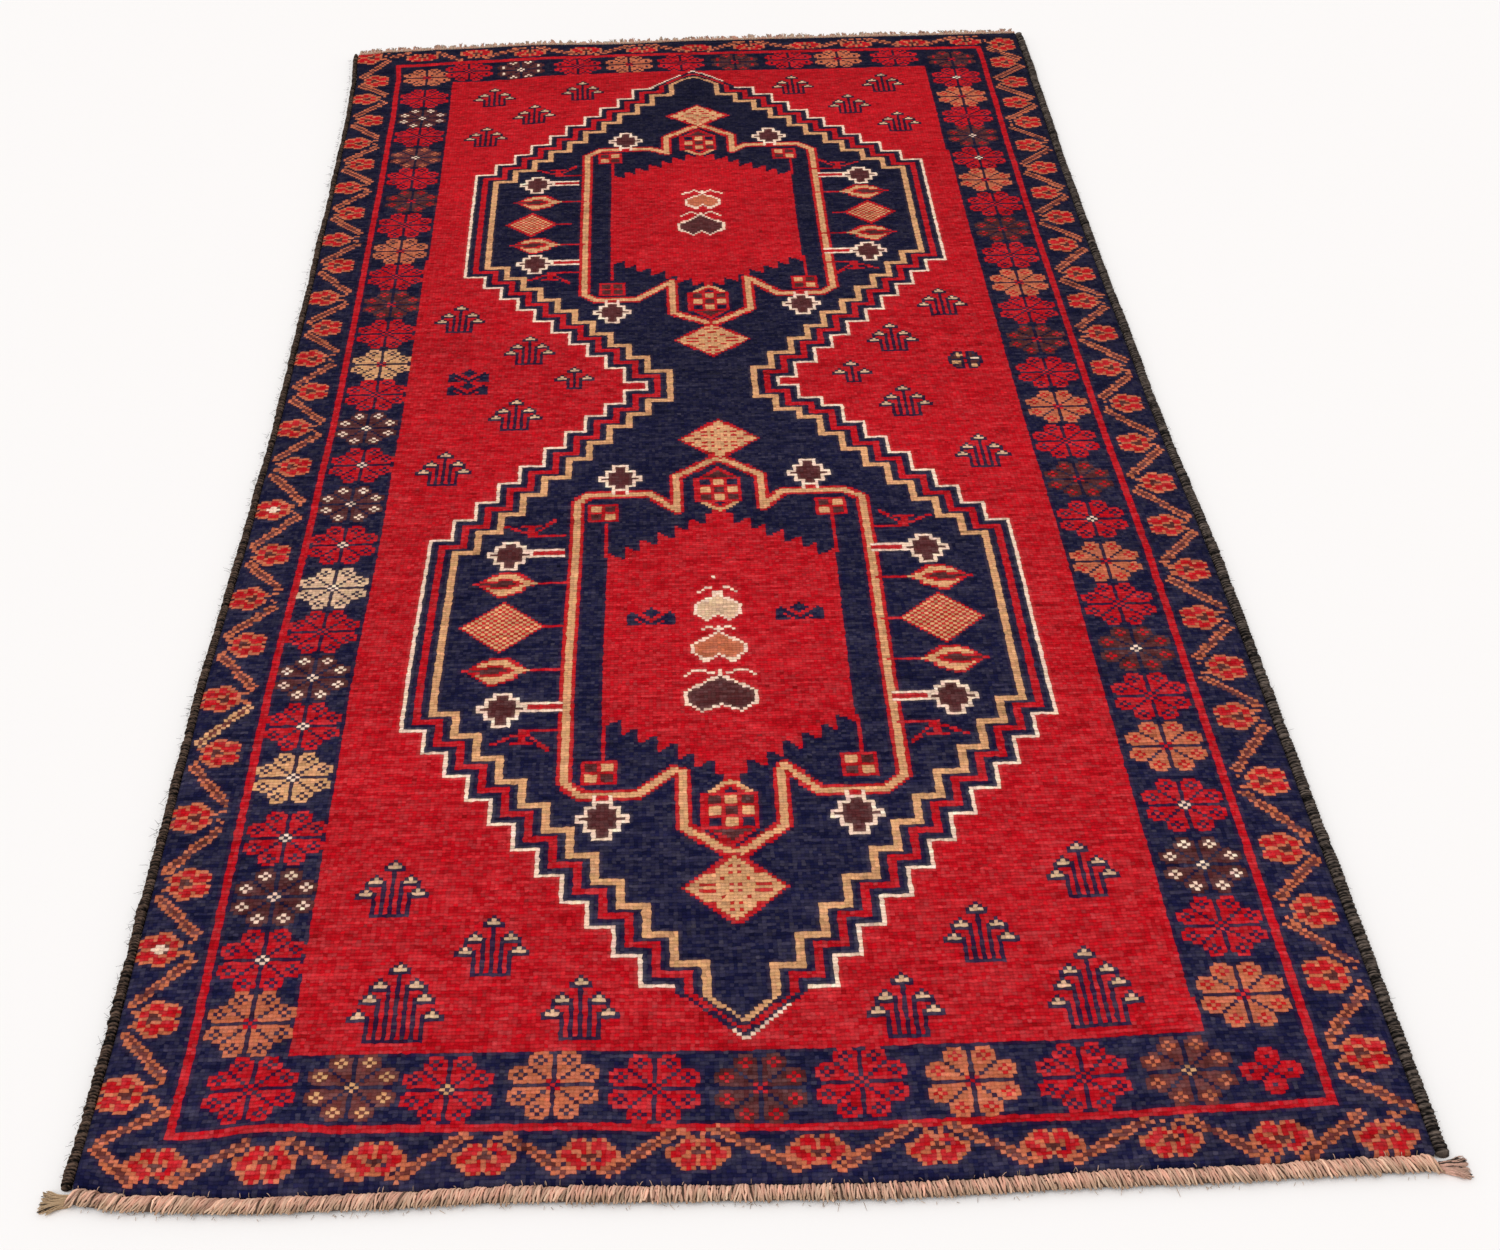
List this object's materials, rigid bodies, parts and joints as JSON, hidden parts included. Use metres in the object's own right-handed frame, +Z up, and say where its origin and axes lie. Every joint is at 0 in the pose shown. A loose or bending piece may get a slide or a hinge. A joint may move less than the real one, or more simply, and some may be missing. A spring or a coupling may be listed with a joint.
{
  "type": "area rug",
  "caption": "Hand-knotted wool area rug with two joined medallions, three borders, corded selvedges, a whipped end and a cut fringe; folds in half.",
  "frame": {"origin": "middle of the footprint, on the floor under the rug", "axes": "+X across the rug, +Y along it from the whipped near end to the fringed far end, +Z up through the pile"},
  "size_m": [1.1254, 2.361, 0.0094],
  "materials": {
    "ground_cloth": "woven warps and wefts, matte",
    "navy_pile": "knotted wool pile, soft sheen",
    "red_pile": "knotted wool pile with abrash, soft sheen",
    "tan_pile": "knotted wool pile, soft sheen",
    "goat_hair": "overcast goat-hair yarn, low sheen",
    "end_warp": "twisted warp yarn, matte"
  },
  "bodies": {
    "near_half": {"field_left_near": "red_pile", "field_right_near": "red_pile", "ground_cloth_near": "ground_cloth", "guard_stripe_left_near": "red_pile", "guard_stripe_near_end": "red_pile", "guard_stripe_right_near": "red_pile", "left_corner_tuft": "end_warp", "left_selvedge_core_near": "goat_hair", "left_selvedge_wrap_near": "goat_hair", "medallion_frame_left_near": "tan_pile", "medallion_frame_right_near": "tan_pile", "medallion_ground_left_near": "navy_pile", "medallion_ground_right_near": "navy_pile", "medallion_outline_left_near": "tan_pile", "medallion_outline_right_near": "tan_pile", "medallion_panel_near": "red_pile", "near_end_cord": "end_warp", "near_end_whipping": "end_warp", "right_corner_tuft": "end_warp", "right_selvedge_core_near": "goat_hair", "right_selvedge_wrap_near": "goat_hair", "rosette_border_left_near": "navy_pile", "rosette_border_near_end": "navy_pile", "rosette_border_right_near": "navy_pile", "vine_border_left_near": "navy_pile", "vine_border_near_end": "navy_pile", "vine_border_right_near": "navy_pile"},
    "far_half": {"far_end_cord": "end_warp", "far_fringe": "end_warp", "field_left_far": "red_pile", "field_right_far": "red_pile", "ground_cloth_far": "ground_cloth", "guard_stripe_far_end": "red_pile", "guard_stripe_left_far": "red_pile", "guard_stripe_right_far": "red_pile", "left_selvedge_core_far": "goat_hair", "left_selvedge_wrap_far": "goat_hair", "medallion_frame_left_far": "tan_pile", "medallion_frame_right_far": "tan_pile", "medallion_ground_left_far": "navy_pile", "medallion_ground_right_far": "navy_pile", "medallion_outline_left_far": "tan_pile", "medallion_outline_right_far": "tan_pile", "medallion_panel_far": "red_pile", "right_selvedge_core_far": "goat_hair", "right_selvedge_wrap_far": "goat_hair", "rosette_border_far_end": "navy_pile", "rosette_border_left_far": "navy_pile", "rosette_border_right_far": "navy_pile", "vine_border_far_end": "navy_pile", "vine_border_left_far": "navy_pile", "vine_border_right_far": "navy_pile"}
  },
  "joints": [
    {"name": "middle_fold", "type": "hinge", "parent": "near_half", "child": "far_half", "pos_m": [0, 0, 0.0099], "axis": [1, 0, 0], "range_deg": [0, 180]}
  ]
}
